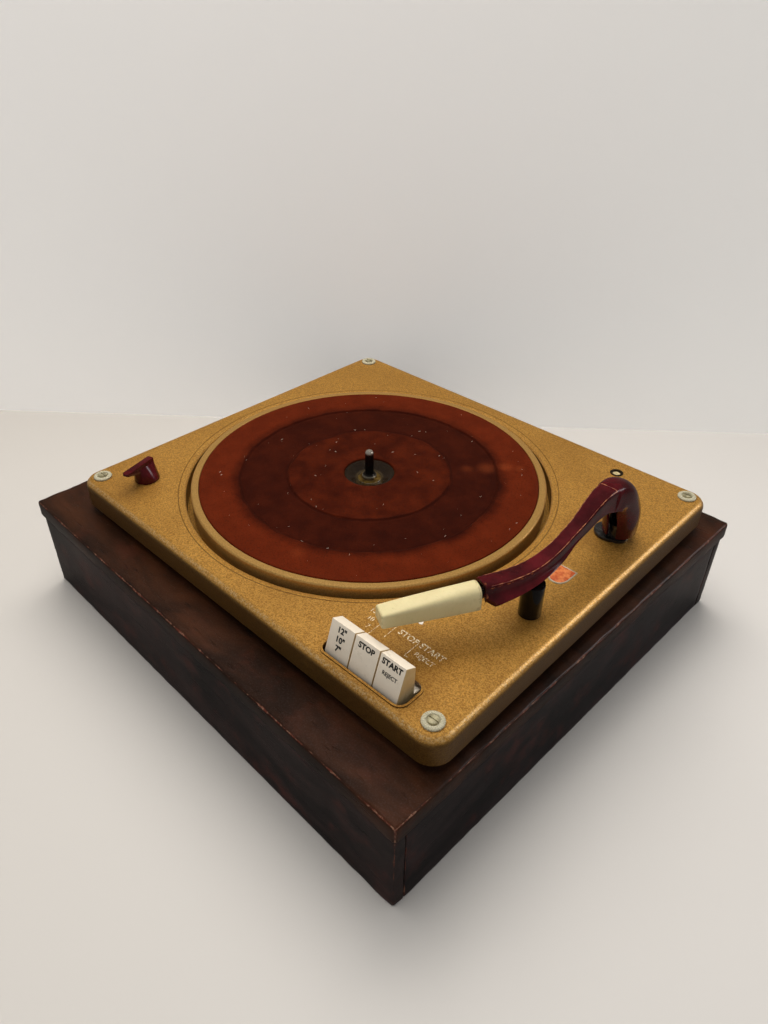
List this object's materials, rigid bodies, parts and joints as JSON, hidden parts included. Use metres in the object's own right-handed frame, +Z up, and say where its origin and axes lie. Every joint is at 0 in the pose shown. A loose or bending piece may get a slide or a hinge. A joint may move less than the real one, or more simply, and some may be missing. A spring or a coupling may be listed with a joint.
{
  "type": "record player",
  "caption": "Three-speed record player with a gold deck, maroon mat, cream pick-up head and ivory keys, sprung on a dark wooden plinth; platter, arm, keys and speed knob move.",
  "frame": {"origin": "middle of the plinth's underside, on the table", "axes": "+X to the right of someone standing at the keys, +Y to the back, +Z up"},
  "size_m": [0.427, 0.395, 0.1767],
  "materials": {
    "stained_wood": "dark stain, worn satin",
    "bare_wood": "bare softwood",
    "rubber": "matt",
    "gold_paint": "hammered gold",
    "rim_paint": "smooth gold",
    "clear_plastic": "clear, yellowed",
    "steel": "zinc plated",
    "brass": "dull",
    "badge_enamel": "orange, bare of marks",
    "mat": "maroon velvet",
    "nylon": "matt",
    "dark_steel": "blackened, bright tip",
    "laminations": "varnished",
    "coil_tape": "varnished cloth tape",
    "grey_steel": "plated, dull",
    "bakelite": "maroon, moulded",
    "key_plastic": "ivory white, printed legends",
    "board": "paper board",
    "head_plastic": "cream",
    "black_plastic": "black"
  },
  "bodies": {
    "deck": {"plinth_top_panel": "stained_wood", "plinth_front_board": "stained_wood", "plinth_back_board": "stained_wood", "plinth_left_board": "stained_wood", "plinth_right_board": "stained_wood", "corner_blocks": "bare_wood", "cable_grommet": "rubber", "deck_plate": "gold_paint", "cup_washers": "clear_plastic", "corner_screws": "steel", "suspension_springs": "steel", "corner_nuts": "brass", "transit_screw": "brass", "bare_badge": "badge_enamel", "bearing_shaft": "steel", "thrust_washer": "nylon", "spindle": "dark_steel", "motor_core": "laminations", "motor_coil": "coil_tape", "motor_top_plate": "grey_steel", "motor_bottom_plate": "grey_steel", "motor_grommets": "rubber", "motor_screws": "steel", "idler_guide": "brass", "slide_studs": "steel", "key_rod": "steel", "key_bracket": "grey_steel", "key_springs": "steel", "mains_switch": "board", "terminal_strip": "board", "arm_pedestal": "black_plastic", "pedestal_nut": "brass", "rest_post": "black_plastic"},
    "platter": {"platter": "rim_paint", "platter_mat": "mat", "hub_bush": "brass"},
    "idler_carrier": {"idler_carrier": "grey_steel", "idler_clip": "steel"},
    "idler": {"idler_wheel": "steel", "idler_tyre": "rubber"},
    "rotor": {"motor_rotor": "steel", "motor_pulley": "brass"},
    "selector": {"speed_knob": "bakelite", "speed_shaft": "steel"},
    "slide": {"speed_slide": "steel"},
    "size_key": {"size_key": "key_plastic"},
    "stop_key": {"stop_key": "key_plastic"},
    "start_key": {"start_key": "key_plastic"},
    "arm_turret": {"swing_bracket": "black_plastic", "swing_lever": "steel"},
    "arm": {"tone_arm": "bakelite", "hinge_pin": "steel", "head_plug": "black_plastic", "pickup_head": "head_plastic", "cartridge": "black_plastic", "stylus": "steel"}
  },
  "joints": [
    {"name": "platter_spin", "type": "hinge", "parent": "deck", "child": "platter", "pos_m": [-0.01248, 0.00141, 0.1162], "axis": [0, 0, 1], "continuous": true},
    {"name": "motor_spin", "type": "hinge", "parent": "deck", "child": "rotor", "pos_m": [-0.08758, -0.05396, 0.1162], "axis": [0, 0, 1], "continuous": true},
    {"name": "speed_turn", "type": "hinge", "parent": "deck", "child": "selector", "pos_m": [-0.13571, -0.13204, 0.1162], "axis": [0, 0, -1], "range_deg": [0, 60.05]},
    {"name": "slide_shift", "type": "slide", "parent": "deck", "child": "slide", "axis": [0.8049, 0.5934, 0], "range_m": [0, 0.014]},
    {"name": "idler_lift", "type": "slide", "parent": "deck", "child": "idler_carrier", "axis": [0, 0, 1], "range_m": [0, 0.00681]},
    {"name": "idler_spin", "type": "hinge", "parent": "idler_carrier", "child": "idler", "pos_m": [-0.10871, -0.06953, 0.1162], "axis": [0, 0, 1], "continuous": true},
    {"name": "size_press", "type": "hinge", "parent": "deck", "child": "size_key", "pos_m": [0.11945, -0.1089, 0.1032], "axis": [0.9997, 0.0244, 0], "range_deg": [0, 9], "deforming": ["key_springs"]},
    {"name": "stop_press", "type": "hinge", "parent": "deck", "child": "stop_key", "pos_m": [0.13945, -0.10841, 0.1032], "axis": [0.9997, 0.0244, 0], "range_deg": [0, 7], "stiffness_Nm_per_rad": 0.6, "springref_deg": -5.73, "deforming": ["key_springs"]},
    {"name": "start_press", "type": "hinge", "parent": "deck", "child": "start_key", "pos_m": [0.16044, -0.1079, 0.1032], "axis": [0.9997, 0.0244, 0], "range_deg": [0, 7], "stiffness_Nm_per_rad": 0.6, "springref_deg": -5.73, "deforming": ["key_springs"]},
    {"name": "arm_swing", "type": "hinge", "parent": "deck", "child": "arm_turret", "pos_m": [0.1745, 0.0762, 0.1162], "axis": [0, 0, -1], "range_deg": [0, 42]},
    {"name": "arm_lift", "type": "hinge", "parent": "arm_turret", "child": "arm", "pos_m": [0.1745, 0.0762, 0.1417], "axis": [-0.9997, -0.0244, 0], "range_deg": [0, 12]}
  ],
  "couplings": [
    {"joint": "idler_spin", "follows": "platter_spin", "ratio": 6.4409},
    {"joint": "motor_spin", "follows": "platter_spin", "ratio": -34.561},
    {"joint": "speed_turn", "follows": "slide_shift", "rad_per_m": 74.8},
    {"joint": "idler_lift", "follows": "slide_shift", "ratio": 0.48571}
  ]
}
